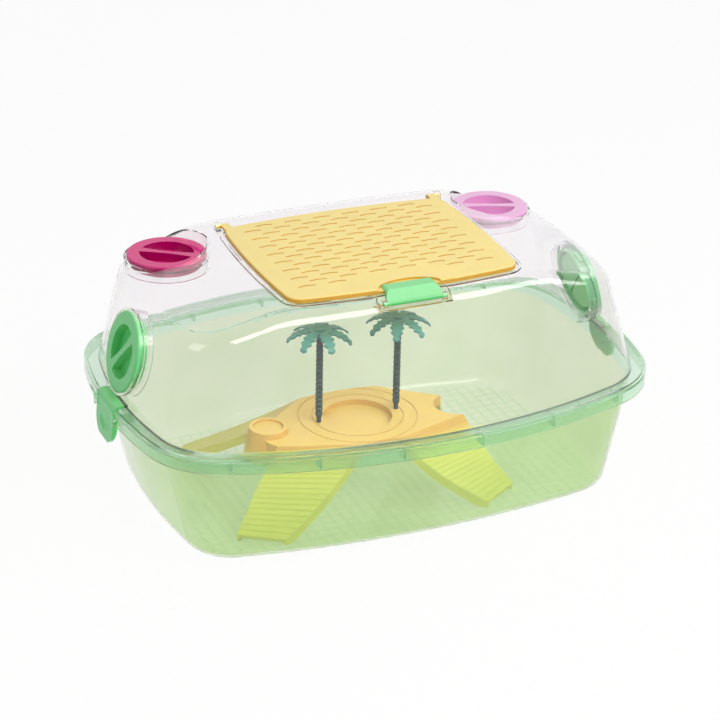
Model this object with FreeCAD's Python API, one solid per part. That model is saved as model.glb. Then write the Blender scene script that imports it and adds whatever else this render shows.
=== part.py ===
"""Turtle tank: translucent tub, clear dome with door, clips and port plugs, island with two palms."""
import FreeCAD
import Part
import math
import os

Vector = FreeCAD.Vector
UP = Vector(0, 0, 1)

# Driving dimensions, millimetres and degrees. X is the length, -Y the front, Z up, origin under the tub.

# Outlines: half length, half width, how far a long side and an end turn, corner radius
base_half_length = 232
base_half_width = 152
base_side_turn = 9
base_end_turn = 9
base_corner = 49
mouth_half_length = 262
mouth_half_width = 184
mouth_side_turn = 20
mouth_end_turn = 11.5
mouth_corner = 70
roof_half_length = 230
roof_half_width = 128
roof_side_turn = 4
roof_end_turn = 9
roof_corner = 52
roof_back_shift = 10

# Fits, and how far a cut runs past the face that it opens
moving_gap = 0.3
pin_clearance = 0.4
seat_gap = 0.2
overcut = 1
cut_reach = 99
beyond = 999

# Tub
tub_wall = 2.4
tub_foot_radius = 18
rim_height = 126
rim_width = 14
rim_thickness = 2.5
skirt_drop = 13
skirt_thickness = 2.2
bead_height = 2.6
rim_rib_thickness = 2
rim_ribs_per_side = 6
rim_rib_span_share = 0.78
rim_rib_inset = 1

# Dome
dome_wall = 2.4
flange_thickness = 2.5
flange_clearance = 1
roof_height = 247
roof_flat_half = 135
roof_end_slope = 13
roof_bend_radius = 160
shoulder_radius = 20
roof_overhang = 60
wall_overrun = 14
inner_overrun = 3

# Door and its opening
door_half_length = 125
door_half_width = 101.5
door_side_turn = 6
door_end_turn = 5
door_corner = 16
door_shift = -4.5
door_gap = 0.5
door_thickness = 2.6
door_rim_height = 5
door_edge_share = 0.7
door_rim_thickness = 2
opening_margin = 6
door_cut_depth = 30
door_lip_clearance = 1
door_lip_depth = 4
door_frame_gap = 3
door_frame_width = 2.5
door_frame_height = 2
slot_length = 18
slot_width = 1.8
slot_bow = 1.4
slot_pitch = 31.4
slot_row_pitch = 10.4
slot_side_margin = 20
slot_front_margin = 33
slot_rear_margin = 4.5
slot_arch_side = 3
arch_half_width = 33
arch_depth = 17
arch_wall_drop = 0.3
ledge_drop = 2.2
ledge_thickness = 2

# Door hinge
hinge_pin_radius = 2.2
hinge_ear_thickness = 5
hinge_ear_radius = 5
hinge_pin_length = 4.4
hinge_lug_inset = 6
hinge_set_back = 1
hinge_arm_length = 16
hinge_lug_length = 9

# Door latch
latch_half_width = 29
latch_thickness = 3
latch_barrel_radius = 2.4
latch_pin_radius = 1.8
latch_lean = 10
latch_hook_reach = 10
latch_hook_thickness = 2.4
latch_pocket_depth = 9
latch_pocket_length = 20
latch_ear_thickness = 3.5
latch_ear_margin = 1.8
latch_side_room = 4
latch_corner = 9

# Side clips
clip_half_width = 25
clip_thickness = 3
clip_hook_reach = 5
clip_top_thickness = 2.2
clip_length = 44
clip_flare = 6
clip_pin_radius = 1.8
clip_pin_length = 3
clip_pivot_drop = 8.5
clip_side_gap = 1.2
clip_ear_thickness = 3
clip_ear_root = 4
clip_ear_margin = 2.6
clip_pivot_share = 1.4
block_height = 4.5
block_depth = 2.8
block_root = 12
block_inset = 2

# Tube ports and plugs
port_bore = 41.3
port_wall = 2
port_hole = 36
port_floor = 2.6
port_collar = 12
port_count_notches = 4
port_notch_half = 8
port_notch_angle = 22
well_reach = 60
plug_clearance = 0.8
plug_cap = 4.2
plug_edge_share = 0.4
plug_skin = 2.2
plug_spigot = 9
plug_spigot_wall = 2.2
plug_lug_reach = 2.4
plug_lug_thickness = 3
plug_pocket_half_length = 27
plug_pocket_half_width = 12
plug_pocket_depth = 9
plug_pocket_bow = 2
plug_grip_half = 3
left_roof_grip = -35
right_roof_grip = -20
end_grip = 40
roof_port_end_inset = 51
roof_port_rear_inset = 46
roof_port_drop = 17
end_port_y = 12
end_port_rise = 45
port_proud = 1
end_port_proud = 3

# Island
island_x = -26
deck_height = 88
deck_thickness = 3
deck_skirt = 10
skin = 2.5
basin_y = -44
basin_radius = 35
basin_depth = 6
terrace_radii = (46, 60)
terrace_depth = 0.8
terrace_width = 1.2
mound_height = 6
mound_top_radius = 19
mound_foot_radius = 25
mound_drop = 26
dish_radius = 15.5
dish_depth = 2.5
ramp_ribs = 18
ramp_rib_share = 0.04
leg_steps = 6
ramp_foot_height = 9
ramp_rib_height = 1.1
floor_gap = 0.3

# Island plan, from its own middle: deck corners, then where ramps and legs pass and stand
deck_front_corner = (21, -105)
deck_side_corner = (100, -80)
deck_waist = (80, -58)
deck_bulge = (107, -57)
deck_rear_shoulder = (96, -34)
deck_rear_corner = (42, 11)
deck_rear_middle = (0, 15)
mound_place = (-97, -46)
ramp_outer_middle = (123, -84)
ramp_inner_middle = (55, -113)
ramp_foot_width = 41
ramp_foot_skew = 27
ramp_wall_clearance = 8
ramp_foot_inset = 3
leg_inner_middle = (88, 52)
leg_outer_middle = (123, 20)
leg_foot_width = 19
leg_foot_skew = 20
leg_end_clearance = 35
leg_wall_clearance = 32

# Palms
palm_spread = 42
trunk_height = 96
trunk_radius = 4
trunk_core = 2.9
trunk_rings = 17
trunk_taper = 0.3
trunk_least_tooth = 0.5
trunk_tooth_share = 0.75
peg_radius = 2.3
peg_length = 6
peg_clearance = 0.3
crown_pin_radius = 1.8
crown_pin_length = 4
frond_count = 7
frond_length = 33
frond_half_width = 7
frond_thickness = 1.4
frond_arch_radius = 30
frond_arch_out = 6
frond_arch_drop = 1
frond_root = 2.2
frond_tip = 0.6
frond_teeth = 5
hub_radius = 4.5
hub_height = 6
left_crown_turn = 12
right_crown_turn = 38


# Helpers

def mix(a, b, t):
    return a + (b - a) * t


def outline_points(size, turns, corner):
    """Quarter outline of a bowed rectangle: three tangent arcs, as (start, middle, end) points."""
    a, b = size
    side, end = (math.radians(turn) for turn in turns)
    m11, m12 = math.sin(side), 1 - math.cos(end)
    m21, m22 = 1 - math.cos(side), math.sin(end)
    v1 = a + corner * (math.sin(side) - math.cos(end))
    v2 = b - corner * (math.cos(side) - math.sin(end))
    det = m11 * m22 - m12 * m21
    side_radius = (v1 * m22 - v2 * m12) / det
    end_radius = (m11 * v2 - m21 * v1) / det
    side_centre = (0, b - side_radius)
    end_centre = (a - end_radius, 0)
    corner_centre = ((side_radius - corner) * math.sin(side),
                     side_centre[1] + (side_radius - corner) * math.cos(side))

    def on(centre, radius, angle):
        return centre[0] + radius * math.cos(angle), centre[1] + radius * math.sin(angle)

    quarter = math.pi / 2
    arcs = []
    for centre, radius, first, last in ((end_centre, end_radius, 0, end),
                                        (corner_centre, corner, end, quarter - side),
                                        (side_centre, side_radius, quarter - side, quarter)):
        arcs.append([on(centre, radius, mix(first, last, t)) for t in (0, 0.5, 1)])
    return arcs


def bowed_wire(size, turns, corner, z, y_shift=0.0):
    """Closed outline of twelve arcs in a level plane, mirrored from its first quarter."""
    quarter = outline_points(size, turns, corner)
    backwards = [arc[::-1] for arc in quarter[::-1]]
    edges = []
    for arcs, sx, sy in ((quarter, 1, 1), (backwards, -1, 1), (quarter, -1, -1), (backwards, 1, -1)):
        for arc in arcs:
            points = [Vector(sx * x, sy * y + y_shift, z) for x, y in arc]
            edges.append(Part.Arc(*points).toShape())
    return Part.Wire(edges)


def solid_between(lower, upper):
    return Part.makeLoft([lower, upper], True, True)


def prism(wire, height):
    return Part.Face(wire).extrude(Vector(0, 0, height))


def box(x0, x1, y0, y1, z0, z1):
    return Part.makeBox(x1 - x0, y1 - y0, z1 - z0, Vector(x0, y0, z0))


def tube(inner, outer, z0, z1):
    shape = Part.makeCylinder(outer, z1 - z0, Vector(0, 0, z0))
    return shape.cut(Part.makeCylinder(inner, z1 - z0, Vector(0, 0, z0)))


def rod_x(radius, x0, x1, y, z):
    return Part.makeCylinder(radius, x1 - x0, Vector(x0, y, z), Vector(1, 0, 0))


def rod_y(radius, y0, y1, x, z):
    return Part.makeCylinder(radius, y1 - y0, Vector(x, y0, z), Vector(0, 1, 0))


def polygon_prism(points, direction):
    """Solid swept from a closed polygon of vectors."""
    wire = Part.makePolygon(list(points) + [points[0]])
    return Part.Face(wire).extrude(direction)


def mirrored(shape):
    return shape.mirror(Vector(0, 0, 0), Vector(1, 0, 0))


def clean(shape):
    solid = shape.removeSplitter()
    return solid.Solids[0] if len(solid.Solids) == 1 else solid


# Section outlines of the tub and the dome at any height

def tub_wire(z, grow=0.0):
    t = z / rim_height
    size = (mix(base_half_length, mouth_half_length, t) + grow,
            mix(base_half_width, mouth_half_width, t) + grow)
    turns = (mix(base_side_turn, mouth_side_turn, t), mix(base_end_turn, mouth_end_turn, t))
    return bowed_wire(size, turns, mix(base_corner, mouth_corner, t) + grow, z)


def rim_wire(z, grow=0.0):
    size = (mouth_half_length + grow, mouth_half_width + grow)
    return bowed_wire(size, (mouth_side_turn, mouth_end_turn), mouth_corner + grow, z)


def dome_wire(z, grow=0.0):
    t = (z - rim_height) / (roof_height - rim_height)
    size = (mix(mouth_half_length, roof_half_length, t) + grow,
            mix(mouth_half_width, roof_half_width, t) + grow)
    turns = (mix(mouth_side_turn, roof_side_turn, t), mix(mouth_end_turn, roof_end_turn, t))
    return bowed_wire(size, turns, mix(mouth_corner, roof_corner, t) + grow, z, roof_back_shift * t)


def rim_ring(inner_grow, outer_grow, z0, z1):
    return prism(rim_wire(z0, outer_grow), z1 - z0).cut(prism(rim_wire(z0, inner_grow), z1 - z0))


# Places shared by several pieces

dome_seat = rim_height + seat_gap
flange_top = dome_seat + flange_thickness
flange_outer = rim_width - skirt_thickness - flange_clearance
door_top = roof_height + door_gap + door_rim_height
door_front = door_shift - door_half_width
door_rear = door_shift + door_half_width
hinge_y = door_rear + hinge_pin_radius + hinge_set_back
hinge_z = door_top - hinge_pin_radius
hinge_lug_end = door_half_length - hinge_lug_inset
ledge_top = door_top - ledge_drop
pocket_floor = roof_height - latch_pocket_depth
pocket_back = door_front - 1.5
latch_y = pocket_back - latch_pocket_length / 2
latch_z = pocket_floor + latch_barrel_radius + 1
latch_top = ledge_top + moving_gap + latch_hook_thickness
clip_hook_x = mouth_half_length + block_depth + moving_gap
clip_leg_x = clip_hook_x + clip_hook_reach
clip_top = flange_top + moving_gap + clip_top_thickness
clip_pivot_x = clip_leg_x + clip_pivot_share * clip_thickness
clip_pivot_z = rim_height - clip_pivot_drop
clip_notch_half = clip_half_width + clip_side_gap
wall_lean = math.degrees(math.atan((mouth_half_length - roof_half_length) / (roof_height - rim_height)))
plug_radius = port_bore - plug_clearance
roof_port_x = roof_half_length - roof_port_end_inset
roof_port_y = roof_back_shift + roof_half_width - roof_port_rear_inset
roof_port_height = roof_height - roof_port_drop
end_port_height = rim_height + end_port_rise
spigot_radius = port_hole - plug_clearance
floor_half_length = base_half_length - tub_foot_radius
floor_half_width = base_half_width - tub_foot_radius
foot_outer_x = floor_half_length - leg_end_clearance - abs(island_x)
ramp_outer_foot = (foot_outer_x - ramp_foot_inset, ramp_foot_skew + ramp_wall_clearance - floor_half_width)
ramp_inner_foot = (ramp_outer_foot[0] - ramp_foot_width, ramp_wall_clearance - floor_half_width)
leg_outer_foot = (foot_outer_x, floor_half_width - leg_wall_clearance - leg_foot_skew)
leg_inner_foot = (foot_outer_x - leg_foot_width, floor_half_width - leg_wall_clearance)


# Tub

def make_tub():
    outer = solid_between(tub_wire(0), tub_wire(rim_height))
    foot_edges = [edge for edge in outer.Edges if edge.BoundBox.ZMax < 0.01]
    outer = outer.makeFillet(tub_foot_radius, foot_edges)
    inner = solid_between(tub_wire(tub_wall, -tub_wall), tub_wire(rim_height + overcut, -tub_wall))
    floor_edges = [edge for edge in inner.Edges if edge.BoundBox.ZMax < tub_wall + 0.01]
    inner = inner.makeFillet(tub_foot_radius - tub_wall, floor_edges)
    skirt_foot = rim_height - skirt_drop
    ledge = rim_ring(-tub_wall, rim_width, rim_height - rim_thickness, rim_height)
    skirt = rim_ring(rim_width - skirt_thickness, rim_width, skirt_foot, rim_height)
    bead = rim_ring(rim_width - skirt_thickness, rim_width, rim_height, rim_height + bead_height)
    rim = ledge.fuse([skirt, bead])
    notch = box(clip_hook_x + moving_gap, clip_leg_x + cut_reach, -clip_notch_half, clip_notch_half,
                skirt_foot - overcut, rim_height + bead_height + overcut)
    rim = rim.cut([notch, mirrored(notch)])
    shape = outer.fuse(rim).fuse(rim_ribs(skirt_foot)).fuse(clip_ears(skirt_foot)).cut(inner)
    pin_hole = rod_y(clip_pin_radius + pin_clearance, -cut_reach, cut_reach,
                     clip_pivot_x, clip_pivot_z)
    return clean(shape.cut([pin_hole, mirrored(pin_hole)]))


def rim_ribs(skirt_foot):
    """Short upright ribs that join the skirt to the wall along the two long sides."""
    ribs = []
    pitch = 2 * mouth_half_length * rim_rib_span_share / (rim_ribs_per_side - 1)
    band = rim_ring(-tub_wall / 2, rim_width - skirt_thickness / 2, skirt_foot + rim_rib_inset,
                    rim_height - rim_rib_inset)
    for i in range(rim_ribs_per_side):
        x = (i - (rim_ribs_per_side - 1) / 2) * pitch
        half = rim_rib_thickness / 2
        slab = box(x - half, x + half, -beyond, beyond, skirt_foot, rim_height)
        ribs.extend(band.common(slab).Solids)
    return ribs


def clip_ears(skirt_foot):
    """Cheeks either side of each clip notch, which carry the clip's pins."""
    ears = []
    for side in (-1, 1):
        half = clip_ear_thickness / 2
        y = side * (clip_notch_half + half)
        ear = box(mouth_half_length - clip_ear_root, clip_pivot_x + clip_pin_radius + clip_ear_margin,
                  y - half, y + half,
                  skirt_foot, rim_height - rim_thickness / 2)
        ears.extend([ear, mirrored(ear)])
    return ears


# Dome

def roof_prism(drop):
    """Everything under the roof line: flat in the middle, sloping down to both ends."""
    top = roof_height - drop
    slope = math.radians(roof_end_slope)
    far = mouth_half_length + roof_overhang
    bend = roof_bend_radius * math.tan(slope / 2)
    right = [(roof_flat_half - bend, top),
             (roof_flat_half - bend + roof_bend_radius * math.sin(slope / 2),
              top - roof_bend_radius * (1 - math.cos(slope / 2))),
             (roof_flat_half + bend * math.cos(slope), top - bend * math.sin(slope)),
             (far, top - (far - roof_flat_half) * math.tan(slope))]
    p = [Vector(x, -beyond, z) for x, z in right]
    q = [Vector(-x, -beyond, z) for x, z in right]
    low_right, low_left = Vector(far, -beyond, 0), Vector(-far, -beyond, 0)
    edges = [Part.makeLine(q[0], p[0]), Part.Arc(p[0], p[1], p[2]).toShape(), Part.makeLine(p[2], p[3]),
             Part.makeLine(p[3], low_right), Part.makeLine(low_right, low_left),
             Part.makeLine(low_left, q[3]),
             Part.makeLine(q[3], q[2]), Part.Arc(q[2], q[1], q[0]).toShape()]
    return Part.Face(Part.Wire(edges)).extrude(Vector(0, 2 * beyond, 0))


def dome_body(inset):
    """Solid under the dome's skin; inset 0 is the outside, the wall thickness the inside."""
    foot = dome_seat if inset == 0 else dome_seat - inner_overrun
    walls = solid_between(dome_wire(foot, -inset), dome_wire(roof_height + wall_overrun, -inset))
    body = walls.common(roof_prism(inset))
    shoulder = []
    steepest_roof, flattest_wall = 0.8, 0.7
    for edge in body.Edges:
        faces = body.ancestorsOfType(edge, Part.Face)
        tilts = sorted(face.normalAt(*middle(face)).z for face in faces)
        if len(tilts) == 2 and tilts[0] < flattest_wall and tilts[1] > steepest_roof:
            shoulder.append(edge)
    return body.makeFillet(shoulder_radius - inset, shoulder)


def middle(face):
    u0, u1, v0, v1 = face.ParameterRange
    return (u0 + u1) / 2, (v0 + v1) / 2


def place_roof_port(shape, side):
    moved = shape.copy()
    moved.translate(Vector(side * roof_port_x, roof_port_y, roof_port_height))
    return moved


def end_port_x():
    lean = math.tan(math.radians(wall_lean))
    return mouth_half_length - (end_port_height - rim_height) * lean


def place_end_port(shape, side):
    """Turn the port axis from upright to pointing out of the end wall, leaning up with the wall."""
    moved = shape.copy()
    moved.rotate(Vector(0, 0, 0), Vector(0, 1, 0), 90 - wall_lean)
    moved.translate(Vector(end_port_x(), end_port_y, end_port_height))
    return moved if side > 0 else mirrored(moved)


def port_collar_shape(proud):
    """Collar, floor ring and bayonet notches of one port; the floor's top is the local zero."""
    outer = port_bore + port_wall
    collar = tube(port_bore, outer, -port_collar, proud)
    floor = tube(port_hole, outer - port_wall / 2, -port_floor, 0)
    reach = spigot_radius + plug_lug_reach + plug_clearance
    for i in range(port_count_notches):
        notch = box(0, reach, -port_notch_half, port_notch_half, -port_floor - overcut, overcut)
        notch.rotate(Vector(0, 0, 0), UP, lug_angle(i))
        floor = floor.cut(notch)
    return collar.fuse(floor)


def lug_angle(i):
    return port_notch_angle + i * 360 / port_count_notches


def make_dome():
    outer = dome_body(0)
    inner = dome_body(dome_wall)
    shell = outer.cut(inner)
    flange = rim_ring(-dome_wall / 2, flange_outer, dome_seat, flange_top)
    shell = shell.fuse(flange.cut(inner))
    shell = shell.fuse(door_frame(inner))
    shell = clip_seats(shell, inner)
    shell = open_ports(shell, outer)
    shell = shell.cut(door_opening())
    shell = latch_seat(shell, outer)
    return clean(shell.fuse(hinge_ears()))


def door_wire(z, grow=0.0):
    size = (door_half_length + grow, door_half_width + grow)
    return bowed_wire(size, (door_side_turn, door_end_turn), door_corner + grow, z, door_shift)


def door_frame(inner):
    """Low bead on the roof that frames the door."""
    low = roof_height - 3 * door_frame_height - door_frame_width
    high = roof_height + door_frame_height
    frame = prism(door_wire(low, door_frame_gap + door_frame_width), high - low)
    frame = frame.cut(prism(door_wire(low, door_frame_gap), high - low))
    return frame.cut(inner)


def door_opening():
    return prism(door_wire(roof_height - door_cut_depth, -opening_margin), 2 * door_cut_depth)


def open_ports(shell, outer):
    """Bore the two roof ports and the two end ports and line them with wells and collars."""
    radius = port_bore + port_wall
    for side in (-1, 1):
        bore = Part.makeCylinder(radius - port_wall / 2, port_collar + cut_reach, Vector(0, 0, -port_collar))
        well = tube(port_bore, radius, -port_collar, well_reach)
        shell = shell.cut(place_roof_port(bore, side))
        shell = shell.fuse(place_roof_port(well, side).common(outer))
        shell = shell.fuse(place_roof_port(port_collar_shape(port_proud), side))
        bore = Part.makeCylinder(radius - port_wall / 2, 3 * port_collar, Vector(0, 0, -port_collar))
        shell = shell.cut(place_end_port(bore, side))
        shell = shell.fuse(place_end_port(port_collar_shape(end_port_proud), side))
    return shell


def latch_seat(shell, outer):
    """Pocket in the front shoulder with two ears that carry the latch's pins."""
    half = latch_half_width + latch_ear_thickness + latch_side_room
    front = pocket_back - 2 * latch_pocket_length
    pocket = box(-half, half, front, pocket_back, pocket_floor, roof_height + door_cut_depth)
    cup = box(-half - dome_wall, half + dome_wall, front, pocket_back + dome_wall,
              pocket_floor - dome_wall, roof_height - dome_wall / 2)
    shell = shell.cut(pocket).fuse(cup.cut(pocket).common(outer))
    ears = []
    reach = latch_barrel_radius + latch_ear_margin
    for side in (-1, 1):
        x = side * (latch_half_width + moving_gap + latch_ear_thickness / 2)
        x0, x1 = x - latch_ear_thickness / 2, x + latch_ear_thickness / 2
        head = rod_x(reach, x0, x1, latch_y, latch_z)
        foot = box(x0, x1, latch_y - reach, pocket_back + overcut, pocket_floor - overcut, latch_z)
        ears.extend([head, foot])
    hole = rod_x(latch_pin_radius + pin_clearance, overcut - half, half - overcut, latch_y, latch_z)
    return shell.fuse(ears).cut(hole)


def hinge_ears():
    ears = []
    for side in (-1, 1):
        x = side * (hinge_lug_end + moving_gap + hinge_ear_thickness / 2)
        x0, x1 = x - hinge_ear_thickness / 2, x + hinge_ear_thickness / 2
        head = rod_x(hinge_ear_radius, x0, x1, hinge_y, hinge_z)
        foot = box(x0, x1, hinge_y - hinge_ear_radius, hinge_y + hinge_ear_radius,
                   roof_height - dome_wall / 2, hinge_z)
        hole = rod_x(hinge_pin_radius + pin_clearance, x0 - overcut, x1 + overcut, hinge_y, hinge_z)
        ears.append(head.fuse(foot).cut(hole))
    return ears


def clip_seats(shell, inner):
    """Cut back the flange under each clip and raise the block that its hook reaches to."""
    notch = box(clip_leg_x - moving_gap, clip_leg_x + cut_reach, -clip_notch_half, clip_notch_half,
                dome_seat - overcut, flange_top + overcut)
    half = clip_half_width - block_inset
    block = box(mouth_half_length - block_root, mouth_half_length + block_depth, -half, half,
                dome_seat, dome_seat + block_height).cut(inner)
    return shell.cut([notch, mirrored(notch)]).fuse([block, mirrored(block)])


# Door

def make_door():
    low = roof_height + door_gap
    body = prism(door_wire(low), door_top - low)
    top_edges = [edge for edge in body.Edges if edge.BoundBox.ZMin > door_top - 0.01]
    body = body.makeFillet(door_thickness * door_edge_share, top_edges)
    hollow = prism(door_wire(low - overcut, -door_rim_thickness), door_top - door_thickness - low + overcut)
    lip_grow = -opening_margin - door_lip_clearance
    lip_low = roof_height - door_lip_depth
    lip = prism(door_wire(lip_low, lip_grow), door_top - door_thickness - lip_low)
    lip = lip.cut(prism(door_wire(lip_low, lip_grow - door_rim_thickness), door_top - lip_low))
    body = body.cut(hollow).fuse(lip)
    body = latch_arch(body)
    body = body.fuse(hinge_pins())
    return clean(body.cut(door_slots()))


def latch_arch(body):
    """Arch cut-out at the middle of the front edge, with a lower ledge for the latch's hook."""
    arch = Part.makeCylinder(arch_half_width, cut_reach, Vector(0, 0, ledge_top))
    squash = FreeCAD.Matrix()
    squash.scale(1, arch_depth / arch_half_width, 1)
    arch = arch.transformGeometry(squash)
    arch.translate(Vector(0, door_front, 0))
    shelf = Part.makeCylinder(arch_half_width + skin, ledge_drop + ledge_thickness,
                              Vector(0, 0, ledge_top - ledge_thickness))
    shelf = shelf.transformGeometry(squash)
    shelf.translate(Vector(0, door_front, 0))
    shelf = shelf.common(prism(door_wire(roof_height, -door_rim_thickness / 2), door_cut_depth))
    below_top = box(-cut_reach, cut_reach, -beyond, beyond, 0, door_top - arch_wall_drop)
    return body.fuse(shelf.common(below_top)).cut(arch)


def hinge_pins():
    """Lugs on the rear edge that carry the hinge pins."""
    parts = []
    for side in (-1, 1):
        inner, outer = hinge_lug_end - hinge_lug_length, hinge_lug_end
        lug = rod_x(hinge_pin_radius, inner, outer, hinge_y, hinge_z)
        arm = box(inner, outer, hinge_y - hinge_arm_length, hinge_y, door_top - door_thickness,
                  hinge_z + hinge_pin_radius)
        pin = rod_x(hinge_pin_radius, inner, outer + hinge_pin_length, hinge_y, hinge_z)
        lug = lug.fuse([arm, pin])
        parts.append(lug if side > 0 else mirrored(lug))
    return parts


def door_slots():
    """Staggered rows of short bowed slots inside the lip, left out around the arch."""
    slots = []
    half = slot_length / 2
    w = slot_width / 2
    outline = ((-half, -w - slot_bow), (0, -w), (half, -w - slot_bow),
               (half, w - slot_bow), (0, w), (-half, w - slot_bow))
    first = door_rear - opening_margin - door_lip_clearance - door_rim_thickness - slot_rear_margin
    rows = int((first - door_front - slot_front_margin) / slot_row_pitch) + 1
    columns = int(2 * (door_half_length - slot_side_margin - half) / slot_pitch) + 1
    for row in range(rows):
        y = first - row * slot_row_pitch
        in_row = columns - 1 if row % 2 == 0 else columns
        for column in range(in_row):
            x = (column - (in_row - 1) / 2) * slot_pitch
            beside = arch_half_width + half + slot_arch_side
            if y < door_front + arch_depth + 2 * slot_row_pitch and abs(x) < beside:
                continue
            points = [Vector(x + px, y + py, roof_height) for px, py in outline]
            slots.append(polygon_prism(points, Vector(0, 0, door_cut_depth)))
    return slots


# Door latch

def make_latch():
    """Leaning flap on a barrel: its top hooks over the door's ledge."""
    w = latch_half_width
    lean_y = latch_y - latch_barrel_radius + latch_lean
    back = lean_y + latch_thickness + latch_hook_reach
    under = latch_top - latch_hook_thickness
    profile = [(latch_y - latch_barrel_radius, latch_z), (lean_y, latch_top), (back, latch_top),
               (back, under), (lean_y + latch_thickness, under),
               (latch_y - latch_barrel_radius + latch_thickness, latch_z)]
    flap = polygon_prism([Vector(-w, y, z) for y, z in profile], Vector(2 * w, 0, 0))
    outline = front_outline(w, latch_z - latch_barrel_radius, latch_top + overcut, latch_corner)
    flap = flap.common(outline)
    barrel = rod_x(latch_barrel_radius, -w, w, latch_y, latch_z)
    pin_reach = w + latch_ear_thickness
    pin = rod_x(latch_pin_radius, -pin_reach, pin_reach, latch_y, latch_z)
    return clean(flap.fuse([barrel, pin]))


def front_outline(half, low, high, radius):
    """Upright slab along Y whose top corners are rounded."""
    k = radius * (1 - math.sqrt(0.5))
    p = [Vector(-half, -beyond, low), Vector(half, -beyond, low), Vector(half, -beyond, high - radius),
         Vector(half - k, -beyond, high - k), Vector(half - radius, -beyond, high),
         Vector(radius - half, -beyond, high),
         Vector(k - half, -beyond, high - k), Vector(-half, -beyond, high - radius)]
    edges = [Part.makeLine(p[0], p[1]), Part.makeLine(p[1], p[2]), Part.Arc(p[2], p[3], p[4]).toShape(),
             Part.makeLine(p[4], p[5]), Part.Arc(p[5], p[6], p[7]).toShape(), Part.makeLine(p[7], p[0])]
    return Part.Face(Part.Wire(edges)).extrude(Vector(0, 2 * beyond, 0))


# Side clips

def make_clip():
    """Right-hand clip: hook over the flange, leg through the notch, flared finger tab, two pins."""
    top = clip_top
    under = top - clip_top_thickness
    outer = clip_leg_x + clip_thickness
    foot = top - clip_length
    tip = outer + clip_flare
    w = clip_half_width
    leg = Part.Wire([
        Part.makeLine(Vector(clip_hook_x, -w, under), Vector(clip_hook_x, -w, top)),
        Part.makeLine(Vector(clip_hook_x, -w, top), Vector(outer - 1, -w, top)),
        Part.Arc(Vector(outer - 1, -w, top), Vector(outer + 2.2, -w, top - 4),
                 Vector(outer + 3, -w, top - 10)).toShape(),
        Part.Arc(Vector(outer + 3, -w, top - 10), Vector(outer + 4.6, -w, mix(top, foot, 0.6)),
                 Vector(tip, -w, foot + 2)).toShape(),
        Part.Arc(Vector(tip, -w, foot + 2), Vector(tip - 2.2, -w, foot),
                 Vector(tip - 4, -w, foot + 2)).toShape(),
        Part.makeLine(Vector(tip - 4, -w, foot + 2), Vector(clip_leg_x, -w, top - 12)),
        Part.makeLine(Vector(clip_leg_x, -w, top - 12), Vector(clip_leg_x, -w, under)),
        Part.makeLine(Vector(clip_leg_x, -w, under), Vector(clip_hook_x, -w, under))])
    body = Part.Face(leg).extrude(Vector(0, 2 * w, 0))
    body = body.common(clip_outline(foot, top))
    recess = Part.makeSphere(14, Vector(0, 0, 0))
    stretch = FreeCAD.Matrix()
    stretch.scale(0.18, 1.0, 0.62)
    recess = recess.transformGeometry(stretch)
    recess.translate(Vector(outer + 5.2, 0, mix(top, foot, 0.58)))
    pin = rod_y(clip_pin_radius, -w - clip_pin_length, w + clip_pin_length, clip_pivot_x, clip_pivot_z)
    return clean(body.cut(recess).fuse(pin))


def clip_outline(foot, top):
    """Front outline of a clip, seen along X: straight sides that round in below."""
    w, r = clip_half_width, 0.8 * clip_half_width
    k = r * (1 - math.sqrt(0.5))
    x0 = clip_hook_x - 20
    p = [Vector(x0, -w, top + 1), Vector(x0, w, top + 1), Vector(x0, w, foot + r),
         Vector(x0, w - k, foot + k),
         Vector(x0, w - r, foot), Vector(x0, r - w, foot), Vector(x0, k - w, foot + k),
         Vector(x0, -w, foot + r)]
    edges = [Part.makeLine(p[0], p[1]), Part.makeLine(p[1], p[2]), Part.Arc(p[2], p[3], p[4]).toShape(),
             Part.makeLine(p[4], p[5]), Part.Arc(p[5], p[6], p[7]).toShape(), Part.makeLine(p[7], p[0])]
    return Part.Face(Part.Wire(edges)).extrude(Vector(80, 0, 0))


# Port plugs

def leaf(grow, z0, z1):
    """Finger pocket: a leaf between two arcs, beside the grip bar."""
    length, width = plug_pocket_half_length + grow, plug_pocket_half_width + grow
    base = plug_grip_half - grow
    left, right = (Vector(x, base + plug_pocket_bow, z0) for x in (-length, length))
    edges = [Part.Arc(left, Vector(0, base, z0), right).toShape(),
             Part.Arc(right, Vector(0, base + 2 * width, z0), left).toShape()]
    return Part.Face(Part.Wire(edges)).extrude(Vector(0, 0, z1 - z0))


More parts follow.
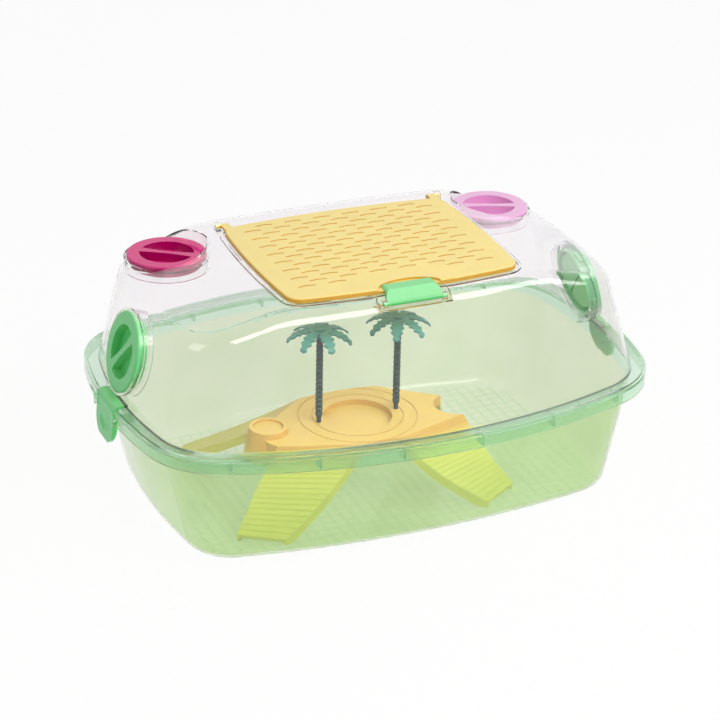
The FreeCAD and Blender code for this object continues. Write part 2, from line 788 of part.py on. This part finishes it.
def make_plug(grip_angle):
    """Cap, hollow spigot, two finger pockets either side of a grip bar, and bayonet lugs."""
    low = seat_gap
    top = low + plug_cap
    cap = Part.makeCylinder(plug_radius, plug_cap, Vector(0, 0, low))
    rim_edges = [edge for edge in cap.Edges if edge.BoundBox.ZMin > top - 0.01]
    cap = cap.makeFillet(plug_cap * plug_edge_share, rim_edges)
    hollow = Part.makeCylinder(spigot_radius - plug_spigot_wall, plug_cap - plug_skin, Vector(0, 0, low))
    spigot = tube(spigot_radius - plug_spigot_wall, spigot_radius, -plug_spigot, top - plug_skin)
    body = cap.cut(hollow).fuse(spigot)
    cups, pockets = [], []
    floor = top - plug_pocket_depth
    for turn in (0, 180):
        cup, pocket = leaf(plug_skin, floor - plug_skin, top - plug_skin), leaf(0, floor, top + overcut)
        for shape in (cup, pocket):
            shape.rotate(Vector(0, 0, 0), UP, turn + grip_angle)
        cups.append(cup)
        pockets.append(pocket)
    within = Part.makeCylinder(spigot_radius, 2 * beyond, Vector(0, 0, -beyond))
    body = body.fuse([cup.common(within) for cup in cups]).cut(pockets)
    lugs = []
    lug_top = -port_floor - seat_gap
    for i in range(port_count_notches):
        half = port_notch_half - plug_clearance
        lug = box(spigot_radius - overcut, beyond, -half, half, lug_top - plug_lug_thickness, lug_top)
        lug = lug.common(Part.makeCylinder(spigot_radius + plug_lug_reach, 2 * beyond, Vector(0, 0, -beyond)))
        lug.rotate(Vector(0, 0, 0), UP, lug_angle(i))
        lugs.append(lug)
    return clean(body.fuse(lugs))


# Island

def strip_section(left, right, top, under, low):
    """Upright channel section between two plan points: skin on top, a wall down each side."""
    along = Vector(right[0] - left[0], right[1] - left[1], 0)
    along.normalize()
    a, b = Vector(left[0], left[1], 0), Vector(right[0], right[1], 0)
    c, d = a + along * skin, b - along * skin
    points = [a + UP * low, a + UP * top, b + UP * top, b + UP * low,
              d + UP * low, d + UP * under, c + UP * under, c + UP * low]
    return Part.makePolygon(points + [points[0]])


def ramp_line(lines, t):
    """Left and right plan points at a share t of the way down, on curves through three level lines."""
    weights = ((1 - t) * (1 - 2 * t), 4 * t * (1 - t), t * (2 * t - 1))
    ends = []
    for points in zip(*lines):
        x = sum(weight * point[0] for weight, point in zip(weights, points))
        y = sum(weight * point[1] for weight, point in zip(weights, points))
        ends.append((x, y))
    return ends


def make_ramp(lines, ribs):
    """Sloping channel through three level lines; each rib is a small step across the slope."""
    floor = tub_wall + floor_gap
    steps = ribs or leg_steps
    rise = (deck_height - ramp_foot_height) / steps
    sections = []
    for i in range(steps + 1):
        left, right = ramp_line(lines, i / steps)
        z = deck_height - i * rise
        low = max(z - deck_skirt, floor)
        if ribs and 0 < i:
            sections.append(strip_section(left, right, z + ramp_rib_height, z - skin, low))
        if i < steps or not ribs:
            nudge = ramp_rib_share if ribs and 0 < i else 0
            left, right = ramp_line(lines, min(i / steps + nudge / steps, 1))
            drop = nudge * rise
            sections.append(strip_section(left, right, z, z - skin - drop, max(low - drop, floor)))
    return Part.makeLoft(sections, True, True)


def deck_outline(z, inset=0.0):
    """Deck plan: straight front, waist on the right, bulge under the mound on the left, bowed rear."""

    def at(point, side=1):
        x, y = point
        return Vector(side * (x - min(inset, x)), y - math.copysign(inset, y), z)

    right = [at(point) for point in (deck_front_corner, deck_side_corner, deck_waist, deck_rear_shoulder,
                                     deck_rear_corner)]
    left = [at(point, -1) for point in (deck_front_corner, deck_side_corner, deck_bulge, deck_rear_shoulder,
                                        deck_rear_corner)]
    edges = [Part.makeLine(left[0], right[0]), Part.makeLine(right[0], right[1]),
             Part.Arc(right[1], right[2], right[3]).toShape(), Part.makeLine(right[3], right[4]),
             Part.Arc(right[4], at(deck_rear_middle), left[4]).toShape(), Part.makeLine(left[4], left[3]),
             Part.Arc(left[3], left[2], left[1]).toShape(), Part.makeLine(left[1], left[0])]
    return Part.Wire(edges)


def make_mound():
    """Hollow cone beside the deck, with a shallow round dish in its top."""
    place = Vector(mound_place[0], mound_place[1], deck_height - mound_drop)
    height = mound_drop + mound_height
    cone = Part.makeCone(mound_foot_radius, mound_top_radius, height, place)
    hollow = Part.makeCone(mound_foot_radius - skin, mound_top_radius - skin, height,
                           place - UP * (dish_depth + skin))
    dish = Part.makeCylinder(dish_radius, dish_depth, place + UP * (height - dish_depth))
    return cone.cut([hollow, dish])


def make_island():
    ramp = make_ramp([(deck_side_corner, deck_front_corner), (ramp_outer_middle, ramp_inner_middle),
                      (ramp_outer_foot, ramp_inner_foot)], ramp_ribs)
    leg = make_ramp([(deck_rear_corner, deck_rear_shoulder), (leg_inner_middle, leg_outer_middle),
                     (leg_inner_foot, leg_outer_foot)], 0)
    deck = prism(deck_outline(deck_height - deck_skirt), deck_skirt)
    hollow = prism(deck_outline(deck_height - deck_skirt - overcut, skin),
                   deck_skirt - deck_thickness + overcut)
    basin_place = Vector(0, basin_y, deck_height - basin_depth)
    bowl = Part.makeCylinder(basin_radius + skin, basin_depth + skin, basin_place - UP * skin)
    cuts = [Part.makeCylinder(basin_radius, basin_depth + mound_height, basin_place)]
    sockets = []
    for side in (-1, 1):
        place = Vector(side * palm_spread, basin_y, deck_height - deck_skirt)
        sockets.append(Part.makeCylinder(peg_radius + peg_clearance + skin, deck_skirt, place))
        cuts.append(Part.makeCylinder(peg_radius + peg_clearance, deck_skirt + mound_height, place))
    for radius in terrace_radii:
        groove = tube(radius - terrace_width / 2, radius + terrace_width / 2, -terrace_depth, overcut)
        groove.translate(Vector(0, basin_y, deck_height))
        cuts.append(groove)
    shape = deck.cut(hollow).fuse([ramp, mirrored(ramp), leg, mirrored(leg), bowl] + sockets)
    room = Part.makeCylinder(mound_top_radius - skin / 2, mound_drop + mound_height,
                             Vector(mound_place[0], mound_place[1], deck_height - mound_drop))
    shape = shape.cut(cuts + [room]).fuse(make_mound())
    shape.translate(Vector(island_x, 0, 0))
    return clean(shape)


# Palms

def make_trunk():
    """Turned trunk with saw-tooth rings, a foot peg below and a crown pin on top."""
    pitch = (trunk_height - peg_length) / trunk_rings
    points = [(0, -deck_thickness), (peg_radius, -deck_thickness), (peg_radius, peg_length)]
    for i in range(trunk_rings):
        z = peg_length + i * pitch
        points.append((trunk_core, z))
        tooth = mix(trunk_radius, trunk_core + trunk_least_tooth, trunk_taper * i / trunk_rings)
        points.append((tooth, z + pitch * trunk_tooth_share))
    points += [(trunk_core, trunk_height), (crown_pin_radius, trunk_height),
               (crown_pin_radius, trunk_height + crown_pin_length), (0, trunk_height + crown_pin_length)]
    wire = Part.makePolygon([Vector(r, 0, z) for r, z in points + [points[0]]])
    return Part.Face(wire).revolve(Vector(0, 0, 0), UP, 360).Solids[0]


def make_frond():
    """Arched blade with toothed edges, growing along +X from the hub."""
    r, t = frond_arch_radius, frond_thickness
    middle_line = Vector(hub_radius + frond_arch_out, -2 * frond_half_width, hub_height - frond_arch_drop - r)
    sheet = Part.makeCylinder(r, 4 * frond_half_width, middle_line, Vector(0, 1, 0))
    sheet = sheet.cut(Part.makeCylinder(r - t, 4 * frond_half_width, middle_line, Vector(0, 1, 0)))
    upper = [(0, frond_root)]
    for i in range(frond_teeth):
        s = (i + 0.3) / frond_teeth
        width = frond_half_width * math.sin(math.pi * (0.2 + 0.72 * s))
        x = mix(hub_radius, frond_length, s)
        upper.append((x, width * 0.6))
        upper.append((x + 0.5 * (frond_length - hub_radius) / frond_teeth, width))
    upper.append((frond_length, frond_tip))
    points = upper + [(x, -y) for x, y in reversed(upper)]
    blade = polygon_prism([Vector(x, y, hub_height - 2 * r) for x, y in points], Vector(0, 0, 2 * r))
    return max(sheet.common(blade).Solids, key=lambda solid: solid.Volume)


def make_crown(first_angle):
    hub = Part.makeCylinder(hub_radius, hub_height)
    bore = Part.makeCylinder(crown_pin_radius + peg_clearance / 2, crown_pin_length + peg_clearance)
    frond = make_frond()
    fronds = []
    for i in range(frond_count):
        leafed = frond.copy()
        leafed.rotate(Vector(0, 0, 0), UP, first_angle + i * 360 / frond_count)
        fronds.append(leafed)
    return clean(hub.fuse(fronds).cut(bore))


def stand_palm(shape, side, height):
    moved = shape.copy()
    moved.translate(Vector(island_x + side * palm_spread, basin_y, height))
    return moved


def main():
    os.makedirs("parts", exist_ok=True)
    clip = make_clip()
    trunk = make_trunk()
    crown_seat = deck_height + trunk_height + peg_clearance / 2
    nodes = {
        "tub": make_tub(),
        "dome": make_dome(),
        "door": make_door(),
        "door_latch": make_latch(),
        "right_clip": clip,
        "left_clip": mirrored(clip),
        "left_roof_plug": place_roof_port(make_plug(left_roof_grip), -1),
        "right_roof_plug": place_roof_port(make_plug(right_roof_grip), 1),
        "left_end_plug": place_end_port(make_plug(end_grip), -1),
        "right_end_plug": place_end_port(make_plug(end_grip), 1),
        "island": make_island(),
        "left_palm_trunk": stand_palm(trunk, -1, deck_height),
        "left_palm_crown": stand_palm(make_crown(left_crown_turn), -1, crown_seat),
        "right_palm_trunk": stand_palm(trunk, 1, deck_height),
        "right_palm_crown": stand_palm(make_crown(right_crown_turn), 1, crown_seat),
    }
    for name, shape in nodes.items():
        shape.exportStep("parts/" + name + ".step")
        print(name, "solids", len(shape.Solids), "valid", shape.isValid(),
              "volume", round(shape.Volume / 1000, 1), "cm3")


main()
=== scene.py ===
# %% [markdown]
# # Turtle tank
# The tank is an assembly of moulded plastic pieces: a tinted tub, a clear dome, a slotted door with its
# latch, two clips, four plugs, and an island with two palms. The shapes come from the imported model, so this
# lesson is about finishes, light and the camera. It starts by loading that model, whose pieces keep their
# places. Modelling them again in Blender would only risk pieces that no longer fit.

# %% Load the imported tank
import math

import bpy
from mathutils import Matrix, Vector

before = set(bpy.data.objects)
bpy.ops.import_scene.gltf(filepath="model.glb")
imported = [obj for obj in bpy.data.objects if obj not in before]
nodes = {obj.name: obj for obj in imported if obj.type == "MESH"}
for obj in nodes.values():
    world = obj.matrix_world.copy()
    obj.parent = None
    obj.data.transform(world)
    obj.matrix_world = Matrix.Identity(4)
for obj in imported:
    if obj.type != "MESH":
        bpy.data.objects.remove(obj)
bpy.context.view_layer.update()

scene = bpy.context.scene

# %% [markdown]
# ## Helpers for finishes
# Colours are easiest to choose as sRGB hex values, as a paint shop would note them, but shaders work with
# linear light. One function converts them. A second one adds a shader node, sets its values and joins its
# inputs, so that each finish below reads as a short list of what it is made of.

# %% Colours
MM = 0.001


def linear(code):
    """sRGB hex to a linear RGBA tuple."""
    values = [int(code[i:i + 2], 16) / 255 for i in (1, 3, 5)]
    return (*[v / 12.92 if v <= 0.04045 else ((v + 0.055) / 1.055) ** 2.4 for v in values], 1.0)


print("middle grey is", linear("#808080"))

# %% Nodes and materials
# A Mix node has sockets for numbers, vectors and colours at once: these are the colour ones
COLOUR_A, COLOUR_B, COLOUR_OUT = 6, 7, 2


def add(tree, kind, settings=None, links=None):
    """Adds one node: settings are its options or input values, links join its inputs to other outputs."""
    made = tree.nodes.new(kind)
    for name, value in (settings or {}).items():
        if isinstance(name, str) and hasattr(made, name):
            setattr(made, name, value)
        else:
            made.inputs[name].default_value = value
    for name, source in (links or {}).items():
        tree.links.new(source, made.inputs[name])
    return made


def new_finish(name):
    """An empty material and its node tree."""
    material = bpy.data.materials.new(name)
    material.use_nodes = True
    material.node_tree.nodes.clear()
    return material, material.node_tree


def per_metre(size_mm):
    """Pattern scale for a repeat of that many millimetres, since object coordinates are in metres."""
    return 1 / (size_mm * MM)


def wear(material, *names):
    """Gives pieces of the tank a finish."""
    for name in names:
        mesh = nodes[name].data
        mesh.materials.clear()
        mesh.materials.append(material)
    print(material.name, "on", ", ".join(names))


print("a 12 mm pattern has scale", round(per_metre(12), 1))

# %% [markdown]
# ## Clear moulded polystyrene: the dome
# The dome is one injection moulding in crystal polystyrene: colourless, glossy, and with faint waves where
# the melt flowed. A refracting shader alone would bend the view rightly but also stop the lamps, so that
# what is inside would sit in the dark. Light Path lets shadow rays through, as a thin clear wall really does.

# %% Walls that let the lamps through


def let_lamps_through(tree, surface, tint):
    """Shadow rays pass a clear or tinted wall with the tint given."""
    path = add(tree, "ShaderNodeLightPath")
    film = add(tree, "ShaderNodeBsdfTransparent", {"Color": tint})
    mixed = add(tree, "ShaderNodeMixShader",
                links={0: path.outputs["Is Shadow Ray"], 1: surface, 2: film.outputs[0]})
    add(tree, "ShaderNodeOutputMaterial", links={"Surface": mixed.outputs[0]})


print("shadow rays pass clear walls")

# %% Clear polystyrene
# To the eye: a nearly invisible wall with sharp highlights that waver a little. A low IOR keeps the thin
# wall from bending the view as a solid block would. A coat near the plastic's own IOR brings back its gloss.
flow_wave_mm = 70
haze_patch_mm = 25

styrene, tree = new_finish("polystyrene_clear_injection_moulded")
place = add(tree, "ShaderNodeTexCoord")
waves = add(tree, "ShaderNodeTexNoise", {"Scale": per_metre(flow_wave_mm), "Detail": 1.0},
            {"Vector": place.outputs["Object"]})
ripple = add(tree, "ShaderNodeBump", {"Strength": 0.04, "Distance": 0.2 * MM},
             {"Height": waves.outputs["Fac"]})
haze = add(tree, "ShaderNodeTexNoise", {"Scale": per_metre(haze_patch_mm), "Detail": 3.0},
           {"Vector": place.outputs["Object"]})
gloss = add(tree, "ShaderNodeMapRange", {"To Min": 0.01, "To Max": 0.04}, {"Value": haze.outputs["Fac"]})
clear = add(tree, "ShaderNodeBsdfPrincipled",
            {"Base Color": linear("#FBF8FB"), "Transmission Weight": 1.0, "IOR": 1.14,
             "Coat Weight": 0.8, "Coat Roughness": 0.04, "Coat IOR": 1.55},
            {"Roughness": gloss.outputs["Result"], "Normal": ripple.outputs["Normal"]})
let_lamps_through(tree, clear.outputs[0], linear("#FAFAFA"))
wear(styrene, "dome")

# %% [markdown]
# ## Tinted polypropylene: the tub
# The tub is natural polypropylene with a little green pigment. It is cloudy rather than clear: light comes
# through softly, and the ramps inside show as blurred shapes. A rough refracting shader gives that, with a
# part of the light scattered at the surface. Three things change its colour from place to place: a faint
# cloudiness, fine square tiles moulded in the floor, and the thick rim, which gathers the tint to a mint
# green. Tiles could be cut in the mesh, but lines this fine read as well in colour and cost no faces.

# %% Cloudy tint and floor tiles
cloud_patch_mm = 60
tile_mm = 12
floor_top_mm = 3

tinted, tree = new_finish("polypropylene_green_tint_injection_moulded")
place = add(tree, "ShaderNodeTexCoord")
cloud = add(tree, "ShaderNodeTexNoise", {"Scale": per_metre(cloud_patch_mm), "Detail": 3.0},
            {"Vector": place.outputs["Object"]})
shade = add(tree, "ShaderNodeValToRGB", links={"Fac": cloud.outputs["Fac"]})
shade.color_ramp.elements[0].position = 0.3
shade.color_ramp.elements[0].color = linear("#DCEBC8")
shade.color_ramp.elements[1].position = 0.7
shade.color_ramp.elements[1].color = linear("#E2EFD0")
tiles = add(tree, "ShaderNodeTexBrick",
            {"offset": 0.0, "squash": 1.0, "Scale": per_metre(tile_mm), "Mortar Size": 0.07,
             "Brick Width": 1.0, "Row Height": 1.0}, {"Vector": place.outputs["Object"]})
height = add(tree, "ShaderNodeSeparateXYZ", links={"Vector": place.outputs["Object"]})
on_floor = add(tree, "ShaderNodeMath", {"operation": "LESS_THAN", 1: floor_top_mm * MM},
               {0: height.outputs["Z"]})
lines = add(tree, "ShaderNodeMath", {"operation": "MULTIPLY"},
            {0: tiles.outputs["Fac"], 1: on_floor.outputs[0]})
tiled = add(tree, "ShaderNodeMix", {"data_type": "RGBA", COLOUR_B: linear("#CDE6BA")},
            {0: lines.outputs[0], COLOUR_A: shade.outputs["Color"]})
print("floor tiles every", tile_mm, "mm")

# %% Mint rim and moulded body
# To the eye: a soft, milky green wall with a dull sheen, deeper where two walls lie behind each other
rim_fade_mm = (111, 115)
mould_grain_mm = 1.5

at_rim = add(tree, "ShaderNodeMapRange",
             {"From Min": rim_fade_mm[0] * MM, "From Max": rim_fade_mm[1] * MM},
             {"Value": height.outputs["Z"]})
tint = add(tree, "ShaderNodeMix", {"data_type": "RGBA", COLOUR_B: linear("#CDEBD2")},
           {0: at_rim.outputs["Result"], COLOUR_A: tiled.outputs[COLOUR_OUT]})
grain = add(tree, "ShaderNodeTexNoise", {"Scale": per_metre(mould_grain_mm), "Detail": 2.0},
            {"Vector": place.outputs["Object"]})
texture = add(tree, "ShaderNodeBump", {"Strength": 0.06, "Distance": 0.1 * MM},
              {"Height": grain.outputs["Fac"]})
cloudy = add(tree, "ShaderNodeBsdfPrincipled",
             {"Transmission Weight": 0.9, "IOR": 1.2, "Roughness": 0.1,
              "Coat Weight": 0.3, "Coat Roughness": 0.12},
             {"Base Color": tint.outputs[COLOUR_OUT], "Normal": texture.outputs["Normal"]})
let_lamps_through(tree, cloudy.outputs[0], linear("#E9F6D6"))
wear(tinted, "tub")

# %% [markdown]
# ## Pigmented plastic: door, island, clips, plugs and palms
# These pieces are moulded in pigmented plastic, a little see-through at thin edges. Walls that stand upright
# get a darker colour than the broad tops, as painted shade. The finish mixes a top colour and a darker one
# by the way a face points on its own piece, and adds soft mottling and a fine moulded grain. A painted vertex
# layer could do the same, but the face's direction needs no painting and follows each shape by itself.
# The island's ramps and legs get a greenish yellow low down: painted light, as if lit through the green tub.

# %% Pigmented plastic
blotch_mm = 22
fine_grain_mm = 0.8
green_light_fade_mm = (62, 80)
pigment_depth = 2 * MM


def pigmented(name, top, shaded_side, roughness, scatter, low=None):
    """Moulded plastic: a top colour, painted shade on upright walls, painted green light low down if given.
    """
    material, tree = new_finish(name)
    place = add(tree, "ShaderNodeTexCoord")
    facing = add(tree, "ShaderNodeSeparateXYZ", links={"Vector": place.outputs["Normal"]})
    level = add(tree, "ShaderNodeMath", {"operation": "ABSOLUTE"}, {0: facing.outputs["Z"]})
    # Upright faces get the darker colour: painted shade
    upright_shade = add(tree, "ShaderNodeMapRange", {"From Min": 0.35, "From Max": 0.85},
               {"Value": level.outputs[0]})
    blotch = add(tree, "ShaderNodeTexNoise", {"Scale": per_metre(blotch_mm), "Detail": 3.0},
                 {"Vector": place.outputs["Object"]})
    wash = add(tree, "ShaderNodeMapRange", {"To Min": 0.94, "To Max": 1.06},
               {"Value": blotch.outputs["Fac"]})
    both = add(tree, "ShaderNodeMix",
               {"data_type": "RGBA", COLOUR_A: linear(shaded_side), COLOUR_B: linear(top)},
               {0: upright_shade.outputs["Result"]})
    colour = both.outputs[COLOUR_OUT]
    # Low down the colour fades to greenish yellow: painted light, as if lit through the green tub
    if low:
        height = add(tree, "ShaderNodeSeparateXYZ", links={"Vector": place.outputs["Object"]})
        rise = add(tree, "ShaderNodeMapRange",
                   {"From Min": green_light_fade_mm[0] * MM, "From Max": green_light_fade_mm[1] * MM},
                   {"Value": height.outputs["Z"]})
        deep = add(tree, "ShaderNodeMix", {"data_type": "RGBA", COLOUR_A: linear(low)},
                   {0: rise.outputs["Result"], COLOUR_B: colour})
        colour = deep.outputs[COLOUR_OUT]
    tone = add(tree, "ShaderNodeHueSaturation", links={"Color": colour, "Value": wash.outputs["Result"]})
    grain = add(tree, "ShaderNodeTexNoise", {"Scale": per_metre(fine_grain_mm), "Detail": 2.0},
                {"Vector": place.outputs["Object"]})
    texture = add(tree, "ShaderNodeBump", {"Strength": 0.15, "Distance": 0.05 * MM},
                  {"Height": grain.outputs["Fac"]})
    body = add(tree, "ShaderNodeBsdfPrincipled",
               {"Roughness": roughness, "IOR": 1.49, "Subsurface Weight": scatter,
                "Subsurface Radius": (pigment_depth,) * 3, "Subsurface Scale": 1.0},
               {"Base Color": tone.outputs["Color"], "Normal": texture.outputs["Normal"]})
    add(tree, "ShaderNodeOutputMaterial", links={"Surface": body.outputs[0]})
    return material


print("moulded grain every", fine_grain_mm, "mm")

# %% Door and island
# Polypropylene with a fine satin from the mould: a sunny yellow top, amber in slots and edges as painted
# shade
sand = pigmented("polypropylene_sand_yellow_moulded", "#F9E18A", "#DFAA3C", 0.36, 0.1)
wear(sand, "door")
# The island is the same plastic with a duller skin: a softer sheen, browner sides as painted shade, and a
# greenish yellow low down, painted light as if lit through the green tub
amber = pigmented("polypropylene_amber_moulded", "#D9C062", "#CDA64C", 0.42, 0.1, low="#D9D268")
wear(amber, "island")

# %% Latch, clips and end plugs
# Polypropylene with little pigment: light sinks in, so thin hooks glow and thick caps look deep
leaf = pigmented("polypropylene_leaf_green_moulded", "#82DA8C", "#5CC671", 0.25, 0.25)
wear(leaf, "door_latch", "left_clip", "right_clip", "left_end_plug", "right_end_plug")

# %% Roof plugs
# Coloured polystyrene from a polished mould: strong colour under a bright gloss
magenta = pigmented("polystyrene_magenta_moulded", "#D80878", "#AE0460", 0.15, 0.2)
wear(magenta, "left_roof_plug")
# The same plastic with white in the mix: a pale, milky orchid with the same gloss
orchid = pigmented("polystyrene_orchid_moulded", "#F1B8E0", "#E4A2D2", 0.15, 0.2)
wear(orchid, "right_roof_plug")

# %% Palms
# Soft polyethylene takes a dull skin in the mould: the ringed trunks look almost black-green
bark = pigmented("polyethylene_palm_bark_green_moulded", "#14403A", "#103530", 0.6, 0.0)
wear(bark, "left_palm_trunk", "right_palm_trunk")
# The thin fronds let a trace of light through and keep a slight sheen on their arches
frond = pigmented("polyethylene_frond_teal_moulded", "#4F9886", "#3C7C70", 0.45, 0.05)
wear(frond, "left_palm_crown", "right_palm_crown")

# %% [markdown]
# ## White sweep
# Clear goods are often shown on white paper. Paper bright enough to be white by lamp light alone would need
# lamps that bleach the pieces. So the paper shows plain white to the camera, to reflections and through clear
# walls, and keeps a small share of its own shading, so that a soft shadow still holds the tank down.

# %% White to the view


def white_to_view(tree):
    """1 for rays that come from the camera, a reflection or a clear wall, else 0."""
    path = add(tree, "ShaderNodeLightPath")
    first = add(tree, "ShaderNodeMath", {"operation": "MAXIMUM"},
                {0: path.outputs["Is Camera Ray"], 1: path.outputs["Is Glossy Ray"]})
    both = add(tree, "ShaderNodeMath", {"operation": "MAXIMUM"},
               {0: first.outputs[0], 1: path.outputs["Is Transmission Ray"]})
    return both.outputs[0]


print("camera, glossy and transmission rays see white")

# %% Paper floor
# Matt white paper: no gloss, a soft even white that takes shadows
paper_glow = 0.92
reach = 4
drop = 0.5 * MM

paper, tree = new_finish("paper_white_sweep")
matte = add(tree, "ShaderNodeBsdfDiffuse", {"Color": linear("#F4F4F2")})
glow = add(tree, "ShaderNodeEmission", {"Color": (1, 1, 1, 1), "Strength": 1.0})
share = add(tree, "ShaderNodeMath", {"operation": "MULTIPLY", 1: paper_glow}, {0: white_to_view(tree)})
sweep = add(tree, "ShaderNodeMixShader",
            links={0: share.outputs[0], 1: matte.outputs[0], 2: glow.outputs[0]})
add(tree, "ShaderNodeOutputMaterial", links={"Surface": sweep.outputs[0]})
mesh = bpy.data.meshes.new("floor")
corners = [(-reach, -reach, -drop), (reach, -reach, -drop), (reach, reach, -drop), (-reach, reach, -drop)]
mesh.from_pydata(corners, [], [(0, 1, 2, 3)])
mesh.materials.append(paper)
floor = bpy.data.objects.new("floor", mesh)
scene.collection.objects.link(floor)
print("floor", 2 * reach, "m wide")

# %% [markdown]
# ## Studio light
# The world gives an even, dim fill, as white studio walls do, and plain white where it is seen. A long
# soft box over the front right gives the bright band on the dome's shoulder, and a small one on the left
# lifts the end of the tub. Point lamps would give as much light, but hard spots on the clear dome.

# %% World
studio_fill = 0.5

world = bpy.data.worlds.new("studio")
scene.world = world
world.use_nodes = True
tree = world.node_tree
tree.nodes.clear()
strength = add(tree, "ShaderNodeMapRange", {"To Min": studio_fill, "To Max": 1.0},
               {"Value": white_to_view(tree)})
sky = add(tree, "ShaderNodeBackground", {"Color": (1, 1, 1, 1)}, {"Strength": strength.outputs["Result"]})
add(tree, "ShaderNodeOutputWorld", links={"Surface": sky.outputs[0]})
print("world fill", studio_fill)

# %% Soft boxes


def soft_box(name, place, aim, size, watts):
    """An area lamp that faces the aim."""
    lamp = bpy.data.lights.new(name, "AREA")
    lamp.shape = "RECTANGLE"
    lamp.size, lamp.size_y = size
    lamp.energy = watts
    holder = bpy.data.objects.new(name, lamp)
    holder.location = place
    holder.rotation_euler = (Vector(aim) - Vector(place)).to_track_quat("-Z", "Y").to_euler()
    scene.collection.objects.link(holder)
    print(name, "at", place, watts, "W")


soft_box("front_box", (0.72, -1.25, 1.6), (0, 0, 0.2), (2.6, 0.8), 30)
soft_box("left_box", (-1.8, -0.3, 1.1), (0, 0, 0.15), (0.9, 0.9), 4)

# %% [markdown]
# ## Camera
# The picture was taken with a long lens, from the front left, looking down a little. The place was worked out
# from the tank's own outlines, as a turn round the tank, a height, a roll and a distance. These are easier
# to correct one by one than a camera that is moved by hand. A small shift sets the tank in the frame.

# %% Camera
AZIMUTH, ELEVATION, ROLL = (math.radians(a) for a in (-23.59, 25.80, 1.18))
DISTANCE = 2.649
TARGET = Vector((0, 0, 0.1112))
PIXELS = 720
FOCAL, MIDDLE_X, MIDDLE_Y = 2600, 364.5, 372.2

level_back = Vector((math.sin(AZIMUTH), -math.cos(AZIMUTH), 0))
back = level_back * math.cos(ELEVATION) + Vector((0, 0, math.sin(ELEVATION)))
right = Vector((0, 0, 1)).cross(back).normalized()
up = back.cross(right)
rolled_right = right * math.cos(ROLL) + up * math.sin(ROLL)
rolled_up = up * math.cos(ROLL) - right * math.sin(ROLL)
lens = bpy.data.cameras.new("camera")
lens.sensor_width = 36
lens.lens = FOCAL / PIXELS * lens.sensor_width
lens.shift_x = (PIXELS / 2 - MIDDLE_X) / PIXELS
lens.shift_y = (MIDDLE_Y - PIXELS / 2) / PIXELS
camera = bpy.data.objects.new("camera", lens)
turn = Matrix((rolled_right, rolled_up, back)).transposed().to_4x4()
camera.matrix_world = Matrix.Translation(TARGET + back * DISTANCE) @ turn
scene.collection.objects.link(camera)
scene.camera = camera
scene.view_settings.view_transform = "Standard"
print("camera at", tuple(round(v, 3) for v in camera.location), "lens", round(lens.lens, 1), "mm")
